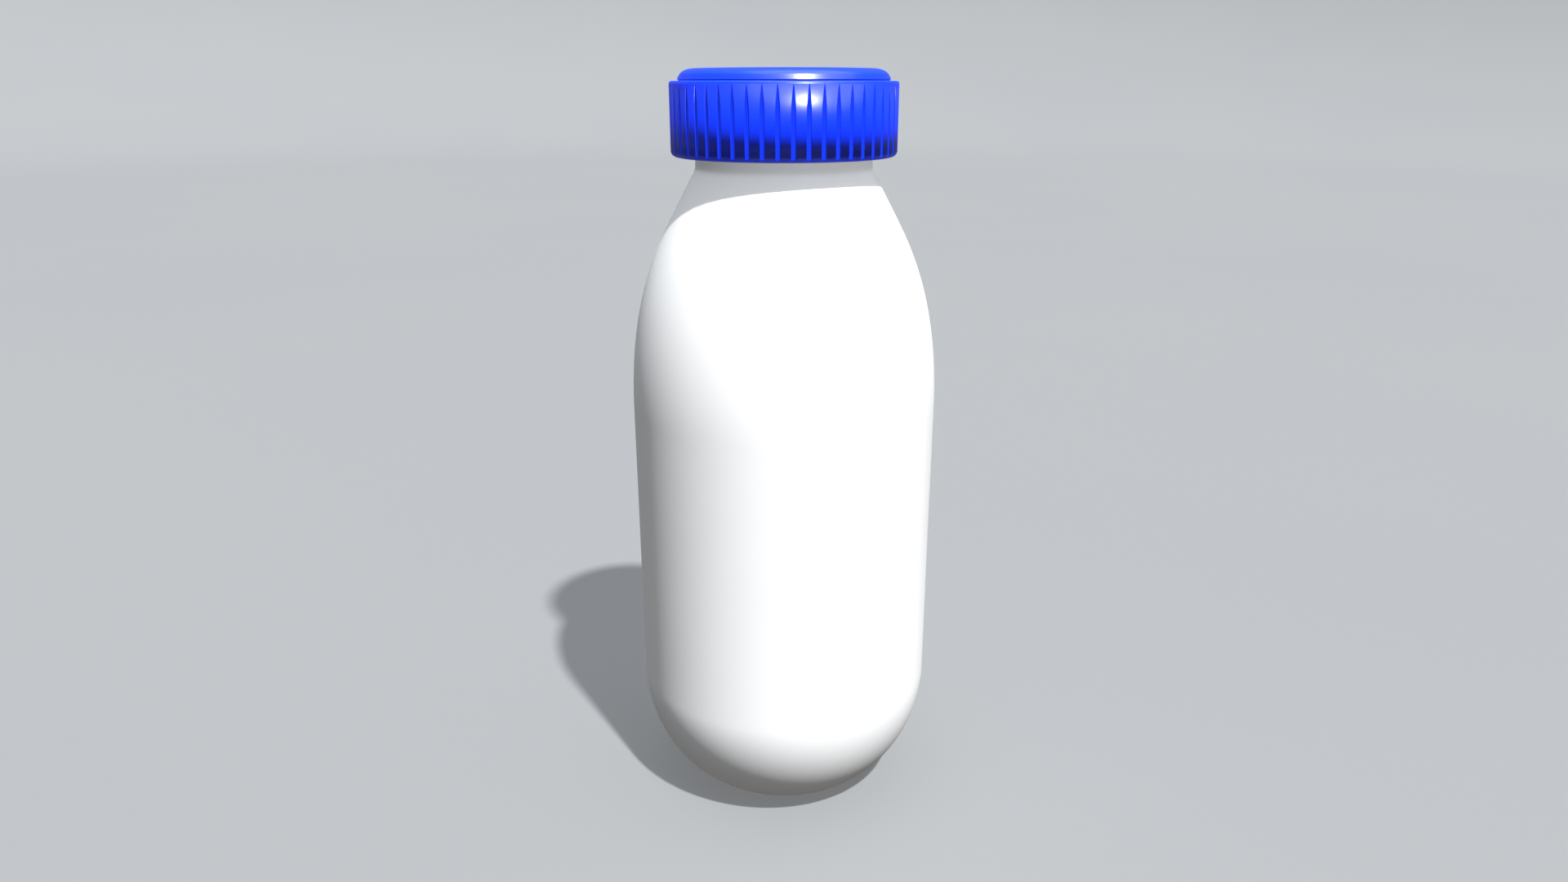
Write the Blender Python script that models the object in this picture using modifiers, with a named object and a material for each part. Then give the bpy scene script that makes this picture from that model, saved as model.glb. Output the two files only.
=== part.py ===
"""A small round milk bottle, shut with a ribbed screw cap, in metres with +Z up.

It stands on the floor plane with its axis on Z, and the camera side of the bottle faces -Y.
The bottle is one closed turned body: a standing ring round a shallow recess, a deep rounded heel,
a straight wall, a long shoulder, a cone, a short collar and the finish that the cap covers.
The cap is a turned shell: a raised disc over a skirt, with narrow upright grooves cut in the skirt.
"""

import math

import bmesh
import bpy
from mathutils import Vector

# Bottle: heights are above the floor, radii are from the axis.
BODY_RADIUS = 0.0291
WALL_BOTTOM = 0.0235
WALL_TOP = 0.0794
HEEL_REACH_IN = 0.0220
HEEL_REACH_DOWN = 0.0259
HEEL_END_HEIGHT = 0.0008
RING_WIDTH = 0.0020
RECESS_DEPTH = 0.0015
RECESS_WIDTH = 0.0045
CONE_BOTTOM_RADIUS = 0.0212
CONE_BOTTOM = 0.1141
CONE_ANGLE = math.radians(28.2)
COLLAR_RADIUS = 0.0161
COLLAR_FILLET = 0.0012
SHOULDER_TENSION_TOP = 0.0068
SHOULDER_TENSION_WALL = 0.0185

# Cap: heights are above the skirt's lower edge.
CAP_BOTTOM = 0.1258
CAP_RADIUS = 0.0205
CAP_WALL = 0.0014
SKIRT_HEIGHT = 0.0129
SKIRT_TOP_ROUNDING = 0.0005
SKIRT_BOTTOM_ROUNDING = 0.0010
DISC_RADIUS = 0.01905
DISC_STEP = 0.00026
LAND_ANGLE = math.radians(29)
LAND_LENGTH = 0.0008
DISC_ROUNDING = 0.0031
DISC_TENSION_LAND = 0.0003
DISC_TENSION_TOP = 0.0019
CAP_HEIGHT = 0.0150

# Grooves in the skirt: 50 of them, square at the foot and pointed at the head.
GROOVES = 50
GROOVE_WIDTH = 0.00080
GROOVE_DEPTH = 0.00025
GROOVE_FOOT = 0.0005
GROOVE_FADE = 0.0082
GROOVE_HEAD = 0.0124
FIRST_GROOVE = math.radians(-85.64)

# Neck under the cap: its clearance all round, and the height and slope of the ledge where it widens.
CLEARANCE = 0.0004
LEDGE_HEIGHT = 0.0035
LEDGE_SLOPE = 0.5

# Facets: sides round the axis, and segments along each curve of the half sections.
BOTTLE_SIDES = 64
CAP_SIDES = 2 * GROOVES
HEEL_SEGMENTS = 11
SHOULDER_SEGMENTS = 13
DISC_SEGMENTS = 5
SMALL_SEGMENTS = 3
CREASE_ANGLE = math.radians(30)


def arc(centre, radius, start, end, segments):
    """Points on an arc about centre, from one angle to the other, in degrees from the +r direction."""
    points = []
    for i in range(segments + 1):
        angle = math.radians(start + (end - start) * i / segments)
        points.append((centre[0] + radius * math.cos(angle), centre[1] + radius * math.sin(angle)))
    return points


def bezier(start, leave, arrive, end, segments):
    """Points on a cubic curve that leaves start towards one handle and reaches end from the other."""
    corners = [Vector(p) for p in (start, leave, arrive, end)]
    points = []
    for i in range(segments + 1):
        t = i / segments
        weights = ((1 - t) ** 3, 3 * t * (1 - t) ** 2, 3 * t * t * (1 - t), t ** 3)
        point = sum((w * c for w, c in zip(weights, corners)), Vector((0, 0)))
        points.append(tuple(point))
    return points


def heel():
    """The heel: a quarter ellipse hung from the foot of the wall, stopped just above the floor."""
    centre_radius = BODY_RADIUS - HEEL_REACH_IN
    last = math.asin((WALL_BOTTOM - HEEL_END_HEIGHT) / HEEL_REACH_DOWN)
    points = []
    for i in range(HEEL_SEGMENTS + 1):
        angle = last * i / HEEL_SEGMENTS
        radius = centre_radius + HEEL_REACH_IN * math.cos(angle)
        points.append((radius, WALL_BOTTOM - HEEL_REACH_DOWN * math.sin(angle)))
    return points


def foot(heel_end, heel_before):
    """The rounding from the heel's end to the floor, the flat standing ring, and the recess inside it."""
    run = Vector(heel_end) - Vector(heel_before)
    run *= heel_end[1] / -run.y
    corner = Vector(heel_end) + run
    ring_outer = corner.x - run.length
    ring_inner = ring_outer - RING_WIDTH
    rounding = bezier(heel_end, corner, corner, (ring_outer, 0), SMALL_SEGMENTS)
    recess_edge = ring_inner - RECESS_WIDTH
    recess = bezier(
        (ring_inner, 0),
        (ring_inner - RECESS_DEPTH, 0),
        (recess_edge + RECESS_DEPTH, RECESS_DEPTH),
        (recess_edge, RECESS_DEPTH),
        SMALL_SEGMENTS + 1,
    )
    return rounding[1:] + recess + [(0, RECESS_DEPTH)]


def collar():
    """The collar's lower end: a small hollow rounding from its straight wall into the cone."""
    rise = (CONE_BOTTOM_RADIUS - COLLAR_RADIUS) / math.tan(CONE_ANGLE)
    corner = Vector((COLLAR_RADIUS, CONE_BOTTOM + rise))
    down_cone = Vector((math.sin(CONE_ANGLE), -math.cos(CONE_ANGLE)))
    start = corner + Vector((0, COLLAR_FILLET))
    end = corner + COLLAR_FILLET * down_cone
    return bezier(start, corner, corner, end, SMALL_SEGMENTS)


def shoulder():
    """The shoulder: one curve that leaves along the cone and lands upright on the wall."""
    down_cone = Vector((math.sin(CONE_ANGLE), -math.cos(CONE_ANGLE)))
    start = Vector((CONE_BOTTOM_RADIUS, CONE_BOTTOM))
    end = Vector((BODY_RADIUS, WALL_TOP))
    leave = start + SHOULDER_TENSION_TOP * down_cone
    arrive = end + Vector((0, SHOULDER_TENSION_WALL))
    return bezier(start, leave, arrive, end, SHOULDER_SEGMENTS)


def finish():
    """The part of the neck under the cap, a plain stepped plug that fills the cap's inside."""
    inner_wall = CAP_RADIUS - CAP_WALL
    wide = inner_wall - CLEARANCE
    narrow = DISC_RADIUS - CAP_WALL - CLEARANCE
    top = CAP_BOTTOM + CAP_HEIGHT - CAP_WALL - CLEARANCE
    step = CAP_BOTTOM + SKIRT_HEIGHT - CAP_WALL - CLEARANCE
    ledge = CAP_BOTTOM + LEDGE_HEIGHT
    return [
        (0, top),
        (narrow, top),
        (narrow, step),
        (wide, step),
        (wide, ledge),
        (COLLAR_RADIUS, ledge - (wide - COLLAR_RADIUS) * LEDGE_SLOPE),
    ]


def bottle_profile():
    """The bottle's half section, from the top of the axis down the outside to the foot of the axis."""
    heel_points = heel()
    return finish() + collar() + shoulder() + heel_points + foot(heel_points[-1], heel_points[-2])


def disc_rim():
    """The disc's edge: a curve down from the flat top, a short straight land, and an upright step."""
    up_land = Vector((-math.sin(LAND_ANGLE), math.cos(LAND_ANGLE)))
    land_foot = Vector((DISC_RADIUS, SKIRT_HEIGHT + DISC_STEP))
    land_top = land_foot + LAND_LENGTH * up_land
    rim_top = Vector((DISC_RADIUS - DISC_ROUNDING, CAP_HEIGHT))
    leave = rim_top + Vector((DISC_TENSION_TOP, 0))
    arrive = land_top + DISC_TENSION_LAND * up_land
    rounding = bezier(rim_top, leave, arrive, land_top, DISC_SEGMENTS)
    return rounding + [tuple(land_foot), (DISC_RADIUS, SKIRT_HEIGHT)]


def cap_profile():
    """The cap's half section: over the disc, down the skirt, and back up the inside to the axis."""
    skirt_top_centre = (CAP_RADIUS - SKIRT_TOP_ROUNDING, SKIRT_HEIGHT - SKIRT_TOP_ROUNDING)
    skirt_bottom_centre = (CAP_RADIUS - SKIRT_BOTTOM_ROUNDING, SKIRT_BOTTOM_ROUNDING)
    inner_wall = CAP_RADIUS - CAP_WALL
    inner_disc = DISC_RADIUS - CAP_WALL
    inside = [
        (inner_wall, 0),
        (inner_wall, SKIRT_HEIGHT - CAP_WALL),
        (inner_disc, SKIRT_HEIGHT - CAP_WALL),
        (inner_disc, CAP_HEIGHT - CAP_WALL),
        (0, CAP_HEIGHT - CAP_WALL),
    ]
    return (
        [(0, CAP_HEIGHT)]
        + disc_rim()
        + arc(skirt_top_centre, SKIRT_TOP_ROUNDING, 90, 0, SMALL_SEGMENTS)
        + arc(skirt_bottom_centre, SKIRT_BOTTOM_ROUNDING, 0, -90, SMALL_SEGMENTS + 1)
        + inside
    )


def new_collection(name):
    """A collection in the scene, for the parts or for the cutters."""
    collection = bpy.data.collections.new(name)
    bpy.context.scene.collection.children.link(collection)
    return collection


def new_material(name, colour, roughness):
    """A plain moulded plastic with one colour and one roughness."""
    material = bpy.data.materials.new(name)
    material.use_nodes = True
    shader = material.node_tree.nodes["Principled BSDF"]
    shader.inputs["Base Color"].default_value = (*colour, 1)
    shader.inputs["Roughness"].default_value = roughness
    shader.inputs["Metallic"].default_value = 0
    material.diffuse_color = (*colour, 1)
    return material


def turned(name, profile, sides, material, collection):
    """A solid of revolution about Z, whose half section starts and ends on the axis."""
    mesh = bpy.data.meshes.new(name)
    edges = [(i, i + 1) for i in range(len(profile) - 1)]
    mesh.from_pydata([(r, 0, z) for r, z in profile], edges, [])
    mesh.materials.append(material)
    solid = bpy.data.objects.new(name, mesh)
    collection.objects.link(solid)
    screw = solid.modifiers.new("turn", "SCREW")
    screw.axis = "Z"
    screw.angle = 2 * math.pi
    screw.steps = sides
    screw.render_steps = sides
    screw.use_merge_vertices = True
    screw.merge_threshold = 0.00001
    screw.use_smooth_shade = False
    return solid


def groove_cutter_mesh():
    """A round-nosed bar that stands in the groove and leans out of the skirt along the pointed head."""
    tool_radius = ((GROOVE_WIDTH / 2) ** 2 + GROOVE_DEPTH ** 2) / (2 * GROOVE_DEPTH)
    facet_radius = CAP_RADIUS * math.cos(math.pi / CAP_SIDES)
    deep = facet_radius + tool_radius - GROOVE_DEPTH
    lean = GROOVE_DEPTH / (GROOVE_HEAD - GROOVE_FADE)
    end_height = GROOVE_HEAD + GROOVE_WIDTH
    path = [
        (deep, GROOVE_FOOT),
        (deep, GROOVE_FADE),
        (deep + lean * (end_height - GROOVE_FADE), end_height),
    ]
    curve = bpy.data.curves.new("groove_path", "CURVE")
    curve.dimensions = "3D"
    curve.bevel_depth = tool_radius
    curve.bevel_resolution = 3
    curve.use_fill_caps = True
    spline = curve.splines.new("POLY")
    spline.points.add(len(path) - 1)
    for point, (r, z) in zip(spline.points, path):
        point.co = (r, 0, z, 1)
    guide = bpy.data.objects.new("groove_path", curve)
    bpy.context.scene.collection.objects.link(guide)
    mesh = finished_mesh(guide)
    mesh.name = "groove_cutter"
    bpy.data.objects.remove(guide)
    welded = bmesh.new()
    welded.from_mesh(mesh)
    bmesh.ops.remove_doubles(welded, verts=welded.verts, dist=0.000001)
    bmesh.ops.recalc_face_normals(welded, faces=welded.faces)
    welded.to_mesh(mesh)
    welded.free()
    return mesh


def cut_grooves(cap, cutters):
    """Cuts one groove in the middle of every second facet of the skirt."""
    mesh = groove_cutter_mesh()
    facet = 2 * math.pi / CAP_SIDES
    for i in range(GROOVES):
        cutter = bpy.data.objects.new(f"groove_cutter_{i:02d}", mesh)
        cutters.objects.link(cutter)
        cutter.parent = cap
        cutter.rotation_euler.z = facet * (2 * i + 0.5)
    cut = cap.modifiers.new("grooves", "BOOLEAN")
    cut.operation = "DIFFERENCE"
    cut.operand_type = "COLLECTION"
    cut.collection = cutters
    cut.solver = "EXACT"


def finished_mesh(guide):
    """What an object's modifiers or its curve settings make of it, as a mesh of its own."""
    bpy.context.view_layer.update()
    evaluated = guide.evaluated_get(bpy.context.evaluated_depsgraph_get())
    return bpy.data.meshes.new_from_object(evaluated)


def remove_cutters(cutters):
    """Removes the bars and their collection, once the grooves are cut."""
    for cutter in list(cutters.objects):
        bpy.data.objects.remove(cutter)
    bpy.data.collections.remove(cutters)


def shade(solid):
    """Applies the modifiers, then shades smooth where facets nearly agree and crisp elsewhere."""
    mesh = finished_mesh(solid)
    solid.modifiers.clear()
    solid.data = mesh
    mesh.name = solid.name
    mesh.shade_smooth()
    mesh.set_sharp_from_angle(angle=CREASE_ANGLE)


def build():
    """Clears the scene, then makes the bottle and its cap."""
    for old in list(bpy.data.objects):
        bpy.data.objects.remove(old)
    parts = new_collection("milk_bottle")
    cutters = new_collection("cutters")
    white = new_material("white_polyethylene", (0.88, 0.89, 0.90), 0.36)
    blue = new_material("blue_polypropylene", (0.010, 0.045, 0.80), 0.22)
    bottle = turned("bottle", bottle_profile(), BOTTLE_SIDES, white, parts)
    cap = turned("cap", cap_profile(), CAP_SIDES, blue, parts)
    cap.location.z = CAP_BOTTOM
    cap.rotation_euler.z = FIRST_GROOVE - math.pi / CAP_SIDES
    cut_grooves(cap, cutters)
    for solid in (bottle, cap):
        shade(solid)
    remove_cutters(cutters)


build()
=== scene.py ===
"""A shut milk bottle: an opaque white blow-moulded bottle under a blue moulded screw cap.

Both pieces are swept skins. A half section, a line of (radius, height) points in metres, is turned round
the Z axis on a grid of rows and columns, and low relief is then worked into the grid: the parting line and
the pinch-off on the bottle, and the grooves and the gate mark on the cap.
"""

import math

import bpy
import numpy as np
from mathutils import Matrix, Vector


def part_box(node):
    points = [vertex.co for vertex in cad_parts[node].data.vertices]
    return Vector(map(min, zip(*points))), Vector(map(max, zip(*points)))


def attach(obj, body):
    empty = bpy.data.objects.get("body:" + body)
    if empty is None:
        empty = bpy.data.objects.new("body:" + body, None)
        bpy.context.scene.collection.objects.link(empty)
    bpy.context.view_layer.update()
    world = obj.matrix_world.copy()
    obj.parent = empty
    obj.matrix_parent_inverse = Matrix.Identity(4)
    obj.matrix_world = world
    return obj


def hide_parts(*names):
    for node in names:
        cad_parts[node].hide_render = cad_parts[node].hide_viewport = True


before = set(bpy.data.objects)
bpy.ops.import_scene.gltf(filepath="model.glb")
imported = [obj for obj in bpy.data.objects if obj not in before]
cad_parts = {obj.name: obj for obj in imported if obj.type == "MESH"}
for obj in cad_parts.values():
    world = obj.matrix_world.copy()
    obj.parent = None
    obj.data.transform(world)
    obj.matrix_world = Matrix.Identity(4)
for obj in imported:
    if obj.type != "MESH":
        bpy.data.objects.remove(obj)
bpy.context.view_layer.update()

MM = 0.001

# What the frame gives: the body's radius, the cap's radius, lower edge and top, and the neck's top.
bottle_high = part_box("bottle")[1]
cap_low, cap_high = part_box("cap")
BODY_RADIUS = bottle_high.x
CAP_RADIUS = (cap_high.x - cap_low.x) / 2
CAP_BOTTOM = cap_low.z
CAP_TOP = cap_high.z
NECK_TOP = bottle_high.z

# Bottle: heights are above the floor.
WALL_BOTTOM = 23.5 * MM
WALL_TOP = 79.4 * MM
HEEL_REACH_IN = 22.0 * MM
HEEL_REACH_DOWN = 25.9 * MM
HEEL_END_HEIGHT = 0.8 * MM
RING_WIDTH = 2.0 * MM
RECESS_DEPTH = 1.5 * MM
RECESS_WIDTH = 4.5 * MM
CONE_BOTTOM_RADIUS = 21.2 * MM
CONE_BOTTOM = 114.1 * MM
CONE_ANGLE = math.radians(28.2)
COLLAR_RADIUS = 16.1 * MM
COLLAR_FILLET = 1.2 * MM
SHOULDER_TENSION_TOP = 6.8 * MM
SHOULDER_TENSION_WALL = 18.5 * MM
LEDGE_HEIGHT = 3.5 * MM
LEDGE_SLOPE = 0.5

# Low relief on the bottle: the ridge where the mould's halves meet, which rises above the heel's foot and
# fades out just under the cap, the pinch-off across the base, and the most that the wall draws in.
PARTING_ANGLE = math.radians(4)
PARTING_HEIGHT = 0.05 * MM
PARTING_WIDTH = 0.22 * MM
PARTING_START = 2.0 * MM
PARTING_FULL = 5.0 * MM
PARTING_FADE = 1.0 * MM
PINCH_HEIGHT = 0.35 * MM
PINCH_WIDTH = 0.55 * MM
PINCH_REACH = 7.5 * MM
PINCH_TAPER = 1.5 * MM
DRAW_IN = 0.04 * MM

# Cap: heights are above the skirt's lower edge.
CAP_WALL = 1.4 * MM
CLEARANCE = 0.4 * MM
SKIRT_HEIGHT = 12.9 * MM
SKIRT_TOP_ROUNDING = 0.5 * MM
SKIRT_BOTTOM_ROUNDING = 1.0 * MM
DISC_RADIUS = 19.05 * MM
LAND_ANGLE = math.radians(29)
LAND_LENGTH = 0.8 * MM
DISC_ROUNDING = 3.1 * MM
DISC_TENSION_LAND = 0.3 * MM
DISC_TENSION_TOP = 1.9 * MM
CREASE_HEIGHT = 0.26 * MM
CREASE_DEPTH = 0.22 * MM
CREASE_EDGE_SHARE = 0.2
GATE_RADIUS = 2.2 * MM
GATE_DEPTH = 0.15 * MM
GATE_EDGE = 0.5 * MM
GATE_MARGIN = 0.3 * MM
GATE_NUB_RADIUS = 0.5 * MM
GATE_NUB_EDGE = 0.3 * MM
GATE_NUB_SHARE = 0.7

# Panels between the grooves, crowned: the height where a panel stands upright, how fast it leans away
# above and below that, how much faster it does so towards its foot, and the share of the lower edge's
# rounding where the crown starts.
PANEL_UPRIGHT = 5.2 * MM
PANEL_TURN = 0.125 / MM
PANEL_FOOT_TURN = 0.040 / MM ** 2
CROWN_START_SHARE = 0.35

# Grooves: open at the foot, and from GROOVE_FADE up narrower and shallower, to a point.
GROOVES = 50
GROOVE_HALF_WIDTH = 0.42 * MM
GROOVE_DEPTH = 0.20 * MM
GROOVE_FADE = 8.6 * MM
GROOVE_HEAD = 12.4 * MM
HEAD_SHARPNESS = 0.65
GROOVE_TIP_SHARE = 0.05
FIRST_GROOVE = math.radians(-85.64)

# Meshes: columns round the bottle, beside a seam, across a groove and across a panel, and rows over the
# gate mark and of the cap's inside, which starts on the skirt's underside.
BODY_COLUMNS = 240
SEAM_COLUMNS = 13
GROOVE_COLUMNS = 15
PANEL_COLUMNS = 7
GATE_ROWS = 15
INSIDE_ROWS = 8

# How far a seam's columns reach, in widths of the parting line, how far the even columns keep off them,
# and the angle past which an edge is sharp.
SEAM_REACH = 3
SEAM_CLEARANCE = math.radians(0.5)
SHARP_ANGLE = math.radians(38)

# Distances under which two places count as one.
TOLERANCE = 0.01 * MM
SAME_POINT = 0.0001 * MM

# Camera: it looks at a point on the axis, from in front and above.
TARGET_HEIGHT = 71.0 * MM
CAMERA_DISTANCE = 211.3 * MM
CAMERA_ELEVATION = math.radians(18.57)
SENSOR_WIDTH = 36.0
FIELD_OF_VIEW = math.radians(45)
FRAME_ASPECT = 16 / 9

# Lamps: azimuth right of the camera and elevation in degrees, strength, and spread in degrees.
KEY = (32, 58, 5.4, 2)
KEY_SCREEN = (30, 60, 1.4, 30)
GLOW = (60, 73, 2.4, 72)
CAP_LIGHT = (0, 88, 4.5, 50)
RIGHT_FILL = (135, 15, 0.6, 40)
BACK_FILL = (200, 45, 1.2, 40)
SKY_STRENGTH = 1.25


def line(start, end, count):
    """Points spaced evenly on the straight line between two points."""
    return np.linspace(start, end, count)


def arc(centre, radius, start, end, count):
    """Points on a circle about centre, from start to end in degrees above the outward direction."""
    angle = np.radians(np.linspace(start, end, count))
    return np.stack((centre[0] + radius * np.cos(angle), centre[1] + radius * np.sin(angle)), 1)


def bezier(start, leave, arrive, end, count):
    """A cubic curve: its four points weighted by (1-t)^3, 3t(1-t)^2, 3t^2(1-t) and t^3."""
    t = np.linspace(0, 1, count)[:, None]
    points = [np.asarray(p, float) for p in (start, leave, arrive, end)]
    weights = ((1 - t) ** 3, 3 * t * (1 - t) ** 2, 3 * t * t * (1 - t), t ** 3)
    return sum(w * p for w, p in zip(weights, points))


def joined(*stretches):
    """One half section from several, without the points that two stretches share."""
    points = np.vstack(stretches)
    step = np.linalg.norm(np.diff(points, axis=0), axis=1)
    return points[np.append(True, step > SAME_POINT)]


def smooth_step(low, high, value):
    """0 below low, 1 above high, and 3t^2 - 2t^3 between them."""
    t = np.clip((value - low) / (high - low), 0, 1)
    return t * t * (3 - 2 * t)


def bottle_section():
    """The bottle's half section, from the top of the axis down the outside to the middle of the base.

    The shoulder is a cubic curve that leaves along the cone and lands upright on the wall. The heel is a
    quarter ellipse, stopped just above the floor and rounded into a flat standing ring.
    """
    plug_wide = CAP_RADIUS - CAP_WALL - CLEARANCE
    plug_narrow = DISC_RADIUS - CAP_WALL - CLEARANCE
    step = CAP_BOTTOM + SKIRT_HEIGHT - CAP_WALL - CLEARANCE
    ledge = CAP_BOTTOM + LEDGE_HEIGHT
    collar_top = (COLLAR_RADIUS, ledge - (plug_wide - COLLAR_RADIUS) * LEDGE_SLOPE)
    plug = [
        (0, NECK_TOP),
        (plug_narrow, NECK_TOP),
        (plug_narrow, step),
        (plug_wide, step),
        (plug_wide, ledge),
    ]

    down_cone = np.array((math.sin(CONE_ANGLE), -math.cos(CONE_ANGLE)))
    rise = (CONE_BOTTOM_RADIUS - COLLAR_RADIUS) / math.tan(CONE_ANGLE)
    corner = np.array((COLLAR_RADIUS, CONE_BOTTOM + rise))
    collar_end = corner + (0, COLLAR_FILLET)
    cone_start = corner + COLLAR_FILLET * down_cone
    cone_end = np.array((CONE_BOTTOM_RADIUS, CONE_BOTTOM))
    wall_top = np.array((BODY_RADIUS, WALL_TOP))
    shoulder = bezier(
        cone_end,
        cone_end + SHOULDER_TENSION_TOP * down_cone,
        wall_top + (0, SHOULDER_TENSION_WALL),
        wall_top,
        count=44,
    )

    heel_turn = math.asin((WALL_BOTTOM - HEEL_END_HEIGHT) / HEEL_REACH_DOWN)
    turn = np.linspace(0, heel_turn, num=44)
    heel = np.stack(
        (
            BODY_RADIUS - HEEL_REACH_IN + HEEL_REACH_IN * np.cos(turn),
            WALL_BOTTOM - HEEL_REACH_DOWN * np.sin(turn),
        ),
        1,
    )
    slope = HEEL_REACH_IN * math.tan(heel_turn) / HEEL_REACH_DOWN
    run_in = HEEL_END_HEIGHT * slope
    foot_corner = np.array((heel[-1, 0] - run_in, 0))
    ring_outer = foot_corner - (math.hypot(run_in, HEEL_END_HEIGHT), 0)
    ring_inner = ring_outer - (RING_WIDTH, 0)
    recess_edge = np.array((ring_inner[0] - RECESS_WIDTH, RECESS_DEPTH))
    return joined(
        plug,
        line(collar_top, collar_end, count=4),
        bezier(collar_end, corner, corner, cone_start, count=8),
        line(cone_start, cone_end, count=10),
        shoulder,
        line(wall_top, (BODY_RADIUS, WALL_BOTTOM), count=40),
        heel,
        bezier(heel[-1], foot_corner, foot_corner, ring_outer, count=10),
        line(ring_outer, ring_inner, count=4),
        bezier(
            ring_inner,
            ring_inner - (RECESS_DEPTH, 0),
            recess_edge + (RECESS_DEPTH, 0),
            recess_edge,
            count=12,
        ),
        line(recess_edge, (0, RECESS_DEPTH), count=12),
    )


def section_normals(section):
    """The outward direction at each point of a half section: its run turned a quarter turn."""
    run = np.gradient(section, axis=0)
    outward = np.stack((-run[:, 1], run[:, 0]), 1)
    return outward / np.linalg.norm(outward, axis=1, keepdims=True)


def turned(radius, height, angle):
    """Points of a grid from cylinder coordinates: x and y are radius times the angle's cosine and sine."""
    return np.stack((radius * np.cos(angle), radius * np.sin(angle), height + 0 * angle), 2)


def bands(rows, columns, first):
    """Quads between neighbouring rows of points, closed round, from the point with the number first."""
    here = np.arange(columns)
    after = np.roll(here, -1)
    row = first + columns * np.arange(rows - 1)[:, None]
    quads = np.stack((row + here, row + columns + here, row + columns + after, row + after), 2)
    return quads.reshape(-1, 4).tolist()


def skin(name, grid):
    """A closed mesh from a grid of points. Rows run from pole to pole, and columns close on themselves."""
    rows, columns = grid.shape[:2]
    points = np.vstack((grid[0, :1], grid[1:-1].reshape(-1, 3), grid[-1, :1]))
    here = np.arange(columns)
    after = np.roll(here, -1)
    first_pole = np.stack((0 * here, 1 + here, 1 + after), 1)
    last_row = 1 + columns * (rows - 3)
    last_pole = np.stack((0 * here + len(points) - 1, last_row + after, last_row + here), 1)
    faces = bands(rows - 2, columns, 1) + first_pole.tolist() + last_pole.tolist()
    mesh = bpy.data.meshes.new(name)
    mesh.from_pydata(points.tolist(), [], faces)
    mesh.shade_smooth()
    mesh.set_sharp_from_angle(angle=SHARP_ANGLE)
    piece = bpy.data.objects.new(name, mesh)
    bpy.context.scene.collection.objects.link(piece)
    return piece


def vertex_values(piece, name, grid):
    """Stores one number for each point of a piece's grid, for its material to read."""
    values = np.concatenate((grid[0, :1], grid[1:-1].ravel(), grid[-1, :1]))
    attribute = piece.data.attributes.new(name, "FLOAT", "POINT")
    attribute.data.foreach_set("value", values.astype(np.float32))


def bottle_columns():
    """Angles round the bottle: even steps, and finer ones beside the two parting lines."""
    even = np.linspace(0, 2 * math.pi, BODY_COLUMNS, endpoint=False)
    beside = np.linspace(-SEAM_REACH, SEAM_REACH, SEAM_COLUMNS) * PARTING_WIDTH / BODY_RADIUS
    seams = np.concatenate([PARTING_ANGLE + half + beside for half in (0, math.pi)])
    apart = np.abs((even[:, None] - seams + math.pi) % (2 * math.pi) - math.pi).min(1)
    return np.sort(np.concatenate((even[apart > SEAM_CLEARANCE], seams % (2 * math.pi))))


def make_bottle():
    """The bottle: its section turned round Z, then moved along its normals by the low relief.

    The parting line is a ridge with the bell shape exp(-(d / width)^2), d being the distance from the
    mould's parting plane. In the recess the same ridge is the taller pinch-off, with tapered ends. The wall
    draws in a little as it cools, most at its middle. The wave is the share, from 0 to 1: two slow swells
    round the body and three smaller ones, which lean as they go up.
    """
    section = bottle_section()
    normal = section_normals(section)
    angle = bottle_columns()[None, :]
    radius, height = section[:, :1], section[:, 1:]
    from_plane = radius * np.sin(angle - PARTING_ANGLE)
    above_foot = smooth_step(PARTING_START, PARTING_FULL, height)
    on_body = above_foot * (1 - smooth_step(-PARTING_FADE, 0, height - CAP_BOTTOM))
    ridge = PARTING_HEIGHT * np.exp(-((from_plane / PARTING_WIDTH) ** 2)) * on_body
    in_reach = 1 - smooth_step(PINCH_REACH - PINCH_TAPER, PINCH_REACH, radius)
    in_recess = in_reach * (height < 2 * RECESS_DEPTH)
    pinch = PINCH_HEIGHT * np.exp(-((from_plane / PINCH_WIDTH) ** 2)) * in_recess
    along = np.clip((height - WALL_BOTTOM) / (WALL_TOP - WALL_BOTTOM), 0, 1)
    wave = 0.5 + 0.3 * np.cos(2 * angle + 0.7) + 0.2 * np.cos(3 * angle - 1.1 + 2 * along)
    draw = DRAW_IN * wave * np.sin(math.pi * along) ** 2
    relief = ridge + pinch - draw
    grid = turned(radius + normal[:, :1] * relief, height + normal[:, 1:] * relief, angle)
    return skin("bottle_body", grid)


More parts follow.
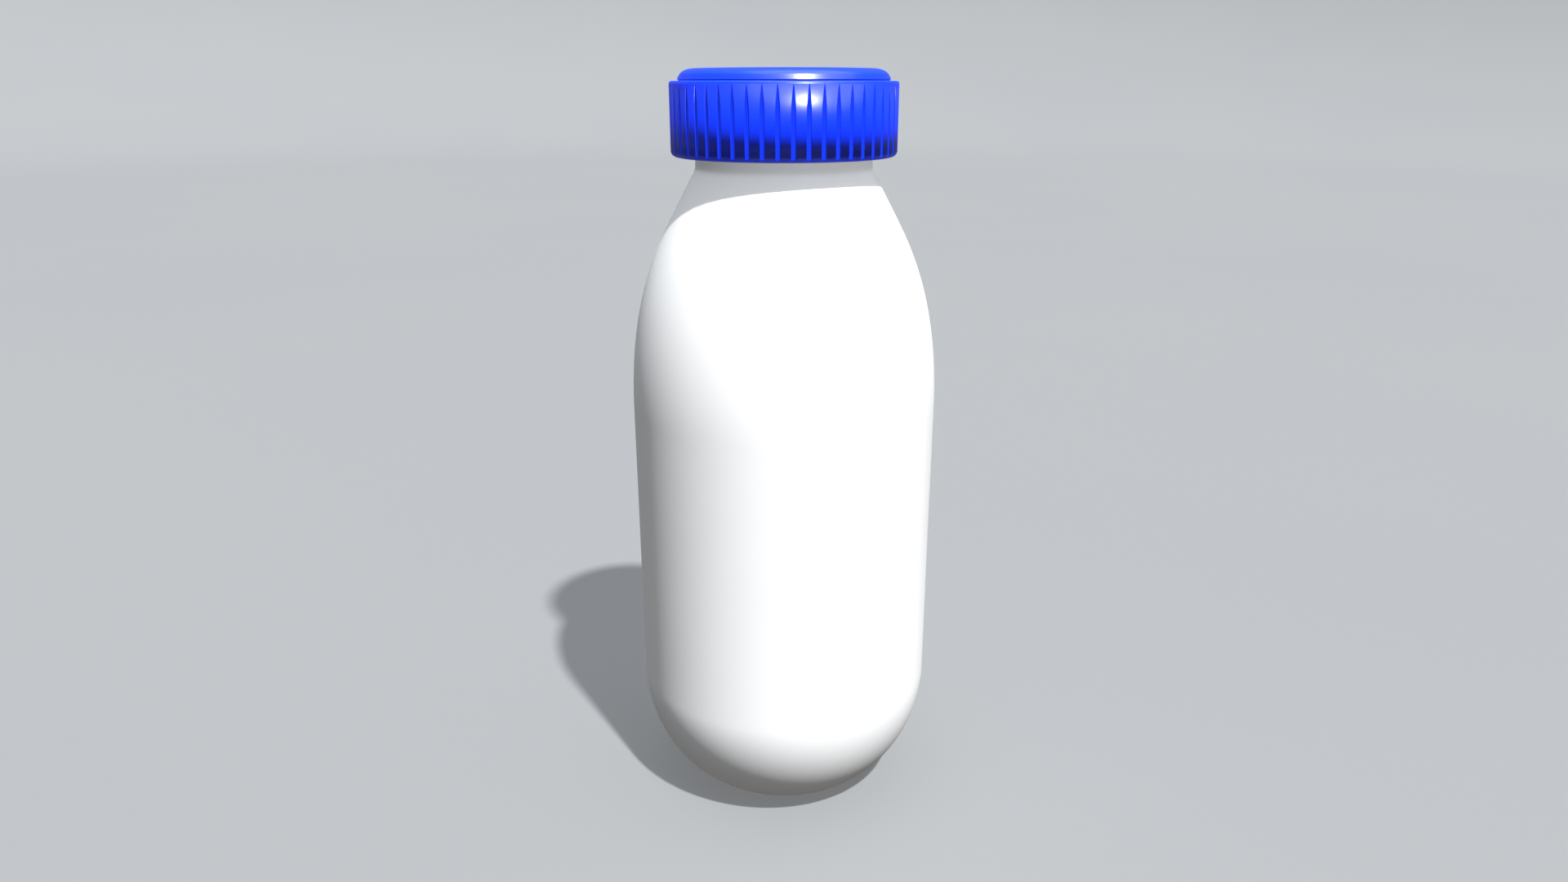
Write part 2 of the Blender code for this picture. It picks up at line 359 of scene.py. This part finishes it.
def cap_section():
    """The cap's half section: over the disc, down the skirt, and up the inside to the axis.

    Heights are above the skirt's lower edge. The disc's rim is a cubic curve that ends in a short straight
    land, and under the land a fine crease is cut in. Both edges of the skirt are arcs.
    """
    top = CAP_TOP - CAP_BOTTOM
    up_land = np.array((-math.sin(LAND_ANGLE), math.cos(LAND_ANGLE)))
    land_foot = np.array((DISC_RADIUS, SKIRT_HEIGHT + CREASE_HEIGHT))
    land_top = land_foot + LAND_LENGTH * up_land
    rim_top = np.array((DISC_RADIUS - DISC_ROUNDING, top))
    rim = bezier(
        rim_top,
        rim_top + (DISC_TENSION_TOP, 0),
        land_top + DISC_TENSION_LAND * up_land,
        land_top,
        count=12,
    )
    top_centre = (CAP_RADIUS - SKIRT_TOP_ROUNDING, SKIRT_HEIGHT - SKIRT_TOP_ROUNDING)
    bottom_centre = (CAP_RADIUS - SKIRT_BOTTOM_ROUNDING, SKIRT_BOTTOM_ROUNDING)
    inner_wall = CAP_RADIUS - CAP_WALL
    inner_disc = DISC_RADIUS - CAP_WALL
    ceiling = SKIRT_HEIGHT - CAP_WALL
    gate = line((0, top), (GATE_RADIUS + GATE_MARGIN, top), GATE_ROWS)
    crease_root = DISC_RADIUS - CREASE_DEPTH
    crease = [
        (crease_root, SKIRT_HEIGHT + (1 - CREASE_EDGE_SHARE) * CREASE_HEIGHT),
        (crease_root, SKIRT_HEIGHT + CREASE_EDGE_SHARE * CREASE_HEIGHT),
        (DISC_RADIUS, SKIRT_HEIGHT),
    ]
    skirt_top = (CAP_RADIUS, SKIRT_HEIGHT - SKIRT_TOP_ROUNDING)
    return joined(
        gate,
        line(gate[-1], rim_top, count=5),
        rim,
        line(land_top, land_foot, count=4),
        crease,
        arc(top_centre, SKIRT_TOP_ROUNDING, start=90, end=0, count=7),
        line(skirt_top, (CAP_RADIUS, GROOVE_FADE), count=18),
        line((CAP_RADIUS, GROOVE_FADE), (CAP_RADIUS, SKIRT_BOTTOM_ROUNDING), count=7),
        arc(bottom_centre, SKIRT_BOTTOM_ROUNDING, start=0, end=-90, count=19),
        line((inner_wall, 0), (inner_wall, ceiling), count=4),
        line((inner_disc, ceiling), (inner_disc, top - CAP_WALL), count=2),
        line((inner_disc, top - CAP_WALL), (0, top - CAP_WALL), count=2),
    )


def make_cap():
    """The cap: its section turned round Z, with grooves cut towards the axis.

    Across a groove, u runs from -1 at one rim to 1 at the other, and the cut is the groove's depth times
    1 - u^6, so the floor is flat and the walls are steep. Towards the head both the width and the depth
    are the full ones times a power of the share of the head that is left. The floor is measured from the
    skirt's wall, so it stays straight and runs out where the skirt's lower edge rounds away. The attribute
    panel is 1 between the grooves and 0 in them, and fades out over the lower edge.
    """
    section = cap_section()
    radius, height = section[:, :1], section[:, 1:]
    outside = np.arange(len(section))[:, None] < len(section) - INSIDE_ROWS
    on_skirt = outside * (radius > DISC_RADIUS + TOLERANCE)
    share = np.clip((GROOVE_HEAD - height) / (GROOVE_HEAD - GROOVE_FADE), 0, 1) ** HEAD_SHARPNESS
    depth = GROOVE_DEPTH * share * on_skirt
    half_width = GROOVE_HALF_WIDTH / CAP_RADIUS * (GROOVE_TIP_SHARE + (1 - GROOVE_TIP_SHARE) * share)

    half_pitch = math.pi / GROOVES
    full_width = GROOVE_HALF_WIDTH / CAP_RADIUS
    across = np.linspace(-1, 1, GROOVE_COLUMNS)
    beside = np.linspace(full_width, 2 * half_pitch - full_width, PANEL_COLUMNS) + 0 * half_width
    pitch_angles = np.hstack((half_width * across, beside))
    profile = np.concatenate((1 - across ** 6, np.zeros(PANEL_COLUMNS)))[None, :]
    grooved = np.minimum(radius, CAP_RADIUS - np.tile(depth * profile, (1, GROOVES)))
    starts = FIRST_GROOVE + 2 * half_pitch * np.arange(GROOVES)
    angle = (starts[None, :, None] + pitch_angles[:, None, :]).reshape(len(section), -1)

    dimple = 1 - smooth_step(GATE_RADIUS - GATE_EDGE, GATE_RADIUS, radius)
    nub = 1 - smooth_step(GATE_NUB_RADIUS, GATE_NUB_RADIUS + GATE_NUB_EDGE, radius)
    on_top = np.arange(len(section))[:, None] < GATE_ROWS
    sunk = GATE_DEPTH * (dimple - GATE_NUB_SHARE * nub) * on_top
    piece = skin("screw_cap", turned(grooved, CAP_BOTTOM + height - sunk, angle))

    below_rim = on_skirt * (height < SKIRT_HEIGHT - SKIRT_TOP_ROUNDING + TOLERANCE)
    crowned = below_rim * smooth_step(CROWN_START_SHARE, 1, height / SKIRT_BOTTOM_ROUNDING)
    in_panel = np.tile(np.isclose(profile, 0).astype(float), (1, GROOVES))
    vertex_values(piece, "panel", in_panel * crowned)
    return piece


def linear(hex_colour):
    """An sRGB hex colour as linear red, green, blue and alpha."""
    share = np.array([int(hex_colour[i : i + 2], 16) for i in (1, 3, 5)]) / 255
    value = np.where(share <= 0.04045, share / 12.92, ((share + 0.055) / 1.055) ** 2.4)
    return (*value.tolist(), 1)


def add(tree, kind, inputs=(), **settings):
    """Adds a node with its settings. Inputs are (name, value) or (name, output socket) pairs."""
    made = tree.nodes.new(kind)
    for name, value in settings.items():
        setattr(made, name, value)
    for name, value in inputs:
        if isinstance(value, bpy.types.NodeSocket):
            tree.links.new(value, made.inputs[name])
        else:
            made.inputs[name].default_value = value
    return made


def new_material(name):
    """An empty node material with its surface output and object coordinates."""
    material = bpy.data.materials.new(name)
    material.use_nodes = True
    tree = material.node_tree
    tree.nodes.clear()
    output = add(tree, "ShaderNodeOutputMaterial")
    place = add(tree, "ShaderNodeTexCoord").outputs["Object"]
    return material, tree, output, place


def blown_polyethylene():
    """Extrusion blow-moulded white high-density polyethylene, made in a fine-blasted mould.

    The blasted mould leaves a satin skin with a fine peel, drawing the tube leaves faint upright streaks,
    and the white milk behind a thin wall makes shadows edge softly.
    """
    material, tree, output, place = new_material("blow_moulded_polyethylene")
    tint = add(
        tree,
        "ShaderNodeTexNoise",
        [("Vector", place), ("Scale", 1 / (18 * MM)), ("Detail", 2.0), ("Roughness", 0.4)],
    )
    white = add(
        tree,
        "ShaderNodeMix",
        [("Factor", tint.outputs["Fac"]), ("A", linear("#F4F5F6")), ("B", linear("#F9FAFA"))],
        data_type="RGBA",
    )
    gloss = add(
        tree,
        "ShaderNodeMapRange",
        [("Value", tint.outputs["Fac"]), ("To Min", 0.36), ("To Max", 0.44)],
    )
    upright = add(tree, "ShaderNodeMapping", [("Vector", place), ("Scale", (1, 1, 0.02))])
    streak = add(
        tree,
        "ShaderNodeTexNoise",
        [("Vector", upright.outputs["Vector"]), ("Scale", 1 / (1.6 * MM)), ("Detail", 1.0)],
    )
    streaks = add(
        tree,
        "ShaderNodeBump",
        [("Strength", 0.5), ("Distance", 0.010 * MM), ("Height", streak.outputs["Fac"])],
    )
    peel = add(
        tree, "ShaderNodeTexNoise", [("Vector", place), ("Scale", 1 / (0.5 * MM)), ("Detail", 1.0)]
    )
    skin_bump = add(
        tree,
        "ShaderNodeBump",
        [
            ("Strength", 0.5),
            ("Distance", 0.008 * MM),
            ("Height", peel.outputs["Fac"]),
            ("Normal", streaks.outputs["Normal"]),
        ],
    )
    shader = add(
        tree,
        "ShaderNodeBsdfPrincipled",
        [
            ("Base Color", white.outputs["Result"]),
            ("Roughness", gloss.outputs["Result"]),
            ("IOR", 1.54),
            ("Subsurface Weight", 0.15),
            ("Subsurface Radius", (1.0, 0.9, 0.8)),
            ("Subsurface Scale", 1.2 * MM),
            ("Normal", skin_bump.outputs["Normal"]),
        ],
    )
    tree.links.new(shader.outputs["BSDF"], output.inputs["Surface"])
    return material


def moulded_polypropylene():
    """Injection-moulded polypropylene, coloured through with ultramarine, from a polished mould.

    It is glossy, with the shallow peel of a thick moulding. Each panel between two grooves is crowned, so
    it is bright at its head and turns dark towards its foot, while the grooves stay even. The crown's
    height is the integral of the lean: with r the height above the level where a panel stands upright,
    minus the turn times r^2 / 2, plus the foot's turn times min(r, 0) r^2 / 3.
    """
    material, tree, output, place = new_material("moulded_polypropylene")
    height = add(tree, "ShaderNodeSeparateXYZ", [("Vector", place)]).outputs["Z"]
    rise = add(tree, "ShaderNodeMath", [(0, height), (1, CAP_BOTTOM + PANEL_UPRIGHT)], operation="SUBTRACT")
    rise = rise.outputs["Value"]
    squared = add(tree, "ShaderNodeMath", [(0, rise), (1, rise)], operation="MULTIPLY").outputs["Value"]
    below = add(tree, "ShaderNodeMath", [(0, rise), (1, 0.0)], operation="MINIMUM").outputs["Value"]
    turn = add(
        tree,
        "ShaderNodeMath",
        [(0, below), (1, PANEL_FOOT_TURN / 3), (2, -PANEL_TURN / 2)],
        operation="MULTIPLY_ADD",
    )
    crown_height = add(
        tree, "ShaderNodeMath", [(0, squared), (1, turn.outputs["Value"])], operation="MULTIPLY"
    )
    panel = add(tree, "ShaderNodeAttribute", attribute_name="panel")
    crown = add(
        tree,
        "ShaderNodeBump",
        [
            ("Strength", panel.outputs["Fac"]),
            ("Distance", 1.0),
            ("Height", crown_height.outputs["Value"]),
        ],
    )
    peel = add(
        tree, "ShaderNodeTexNoise", [("Vector", place), ("Scale", 1 / (1.4 * MM)), ("Detail", 1.0)]
    )
    surface = add(
        tree,
        "ShaderNodeBump",
        [
            ("Strength", 0.4),
            ("Distance", 0.010 * MM),
            ("Height", peel.outputs["Fac"]),
            ("Normal", crown.outputs["Normal"]),
        ],
    )
    cloud = add(
        tree, "ShaderNodeTexNoise", [("Vector", place), ("Scale", 1 / (7 * MM)), ("Detail", 2.0)]
    )
    blue = add(
        tree,
        "ShaderNodeMix",
        [("Factor", cloud.outputs["Fac"]), ("A", linear("#0530F4")), ("B", linear("#0634FA"))],
        data_type="RGBA",
    )
    gloss = add(
        tree,
        "ShaderNodeMapRange",
        [("Value", cloud.outputs["Fac"]), ("To Min", 0.28), ("To Max", 0.32)],
    )
    shader = add(
        tree,
        "ShaderNodeBsdfPrincipled",
        [
            ("Base Color", blue.outputs["Result"]),
            ("Roughness", gloss.outputs["Result"]),
            ("IOR", 1.49),
            ("Normal", surface.outputs["Normal"]),
        ],
    )
    tree.links.new(shader.outputs["BSDF"], output.inputs["Surface"])
    return material


def studio_paper():
    """Matte seamless background paper, a mid grey that the lamps and the sky light to a pale one."""
    material, tree, output, place = new_material("seamless_paper")
    fibre = add(
        tree, "ShaderNodeTexNoise", [("Vector", place), ("Scale", 1 / (400 * MM)), ("Detail", 2.0)]
    )
    grey = add(
        tree,
        "ShaderNodeMix",
        [("Factor", fibre.outputs["Fac"]), ("A", linear("#7C7E80")), ("B", linear("#7F8182"))],
        data_type="RGBA",
    )
    shader = add(
        tree,
        "ShaderNodeBsdfPrincipled",
        [("Base Color", grey.outputs["Result"]), ("Roughness", 0.9), ("Specular IOR Level", 0.2)],
    )
    tree.links.new(shader.outputs["BSDF"], output.inputs["Surface"])
    return material


def make_studio():
    """A round sweep of paper: a flat floor that curves up into a wall on every side.

    It takes light and shadow but throws none back, so the bottle is lit by the sky and the lamps alone.
    """
    floor_radius = 2.0
    sweep = 1.5
    wall_top = 3.0
    floor_gap = 0.02 * MM
    section = np.vstack(
        (
            line((0, 0), (floor_radius, 0), count=12),
            arc((floor_radius, sweep), sweep, start=-90, end=0, count=24)[1:],
            line((floor_radius + sweep, sweep), (floor_radius + sweep, wall_top), count=4)[1:],
        )
    )
    angle = np.linspace(0, 2 * math.pi, num=96, endpoint=False)[None, :]
    grid = turned(section[:, :1], section[:, 1:] - floor_gap, angle)
    mesh = bpy.data.meshes.new("studio_sweep")
    mesh.from_pydata(grid.reshape(-1, 3).tolist(), [], bands(*grid.shape[:2], 0))
    mesh.shade_smooth()
    mesh.materials.append(studio_paper())
    sweep_object = bpy.data.objects.new("studio_sweep", mesh)
    sweep_object.visible_diffuse = False
    sweep_object.visible_glossy = False
    sweep_object.visible_shadow = False
    bpy.context.scene.collection.objects.link(sweep_object)


def direction(azimuth, elevation):
    """The unit vector from the object towards an azimuth right of the camera and an elevation."""
    return np.array(
        (
            math.sin(azimuth) * math.cos(elevation),
            -math.cos(azimuth) * math.cos(elevation),
            math.sin(elevation),
        )
    )


def add_lamp(name, azimuth, elevation, strength, spread):
    """A distant lamp, with its azimuth right of the camera, its elevation and its spread in degrees."""
    lamp = bpy.data.lights.new(name, "SUN")
    lamp.energy = strength
    lamp.angle = math.radians(spread)
    holder = bpy.data.objects.new(name, lamp)
    holder.rotation_euler = (math.pi / 2 - math.radians(elevation), 0, math.radians(azimuth))
    bpy.context.scene.collection.objects.link(holder)
    return holder


def add_fill(name, azimuth, elevation, strength, spread, in_gloss):
    """A wide lamp without shadow, either for matt light alone or for reflections in gloss alone.

    Multiple importance sampling is off for matt light, because with it some of the lamp shows in gloss.
    """
    holder = add_lamp(name, azimuth, elevation, strength, spread)
    holder.data.use_shadow = False
    holder.data.cycles.use_multiple_importance_sampling = in_gloss
    holder.visible_glossy = in_gloss
    holder.visible_diffuse = not in_gloss
    return holder


def make_sky():
    """A soft sky, bright and slightly blue overhead, grey at the horizon and a warm dark grey below."""
    world = bpy.data.worlds.new("soft_sky")
    bpy.context.scene.world = world
    world.use_nodes = True
    tree = world.node_tree
    tree.nodes.clear()
    towards = add(tree, "ShaderNodeTexCoord").outputs["Generated"]
    rise = add(tree, "ShaderNodeSeparateXYZ", [("Vector", towards)]).outputs["Z"]
    share = add(tree, "ShaderNodeMapRange", [("Value", rise), ("From Min", -1.0)])
    ramp = add(tree, "ShaderNodeValToRGB", [("Fac", share.outputs["Result"])])
    stops = (
        (0, "#635F5B"),
        (0.48, "#6B6A69"),
        (0.56, "#6B6E72"),
        (0.75, "#73797F"),
        (0.9, "#8F979F"),
        (1, "#F4F8FF"),
    )
    for position, colour in stops[2:]:
        ramp.color_ramp.elements.new(position)
    for element, (position, colour) in zip(ramp.color_ramp.elements, stops):
        element.position = position
        element.color = linear(colour)
    light = add(tree, "ShaderNodeBackground", [("Color", ramp.outputs["Color"]), ("Strength", SKY_STRENGTH)])
    output = add(tree, "ShaderNodeOutputWorld")
    tree.links.new(light.outputs["Background"], output.inputs["Surface"])


def make_lights(cap):
    """A key lamp at the front right with a screen that lifts its shadow, two fills behind, and the sky.

    Two lamps light the cap alone. The glow is a wide soft reflection, round the key's and right of it, and
    the overhead lamp reaches the crowned heads of the panels that the key grazes.
    """
    add_lamp("key", *KEY)
    add_fill("key_screen", *KEY_SCREEN, in_gloss=False)
    glow = add_fill("glow", *GLOW, in_gloss=True)
    overhead = add_fill("cap_light", *CAP_LIGHT, in_gloss=False)
    cap_alone = bpy.data.collections.new("cap_alone")
    cap_alone.objects.link(cap)
    for lamp in (glow, overhead):
        lamp.light_linking.receiver_collection = cap_alone
    add_fill("right_fill", *RIGHT_FILL, in_gloss=False)
    add_fill("back_fill", *BACK_FILL, in_gloss=False)
    make_sky()


def make_camera():
    """The camera of the photograph: 45 degrees from top to bottom, looking down at the bottle's middle."""
    half_height = math.tan(FIELD_OF_VIEW / 2)
    camera = bpy.data.cameras.new("camera")
    camera.sensor_width = SENSOR_WIDTH
    camera.lens = SENSOR_WIDTH / (2 * half_height * FRAME_ASPECT)
    camera.clip_start = 0.01
    camera.clip_end = 20
    holder = bpy.data.objects.new("camera", camera)
    holder.location = (0, 0, TARGET_HEIGHT) + CAMERA_DISTANCE * direction(0, CAMERA_ELEVATION)
    holder.rotation_euler = (math.pi / 2 - CAMERA_ELEVATION, 0, 0)
    bpy.context.scene.collection.objects.link(holder)
    bpy.context.scene.camera = holder


def dress(piece, node, material):
    """Puts a piece in the place of its solid, with its finish."""
    piece.data.materials.append(material)
    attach(piece, "root")
    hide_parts(node)


# The bottle doesn't mirror in the cap, and the cap throws no blue on the bottle's neck.
bottle = make_bottle()
bottle.visible_glossy = False
dress(bottle, "bottle", blown_polyethylene())
cap = make_cap()
cap.visible_diffuse = False
dress(cap, "cap", moulded_polypropylene())
make_camera()
make_studio()
make_lights(cap)
bpy.context.scene.view_settings.view_transform = "Standard"
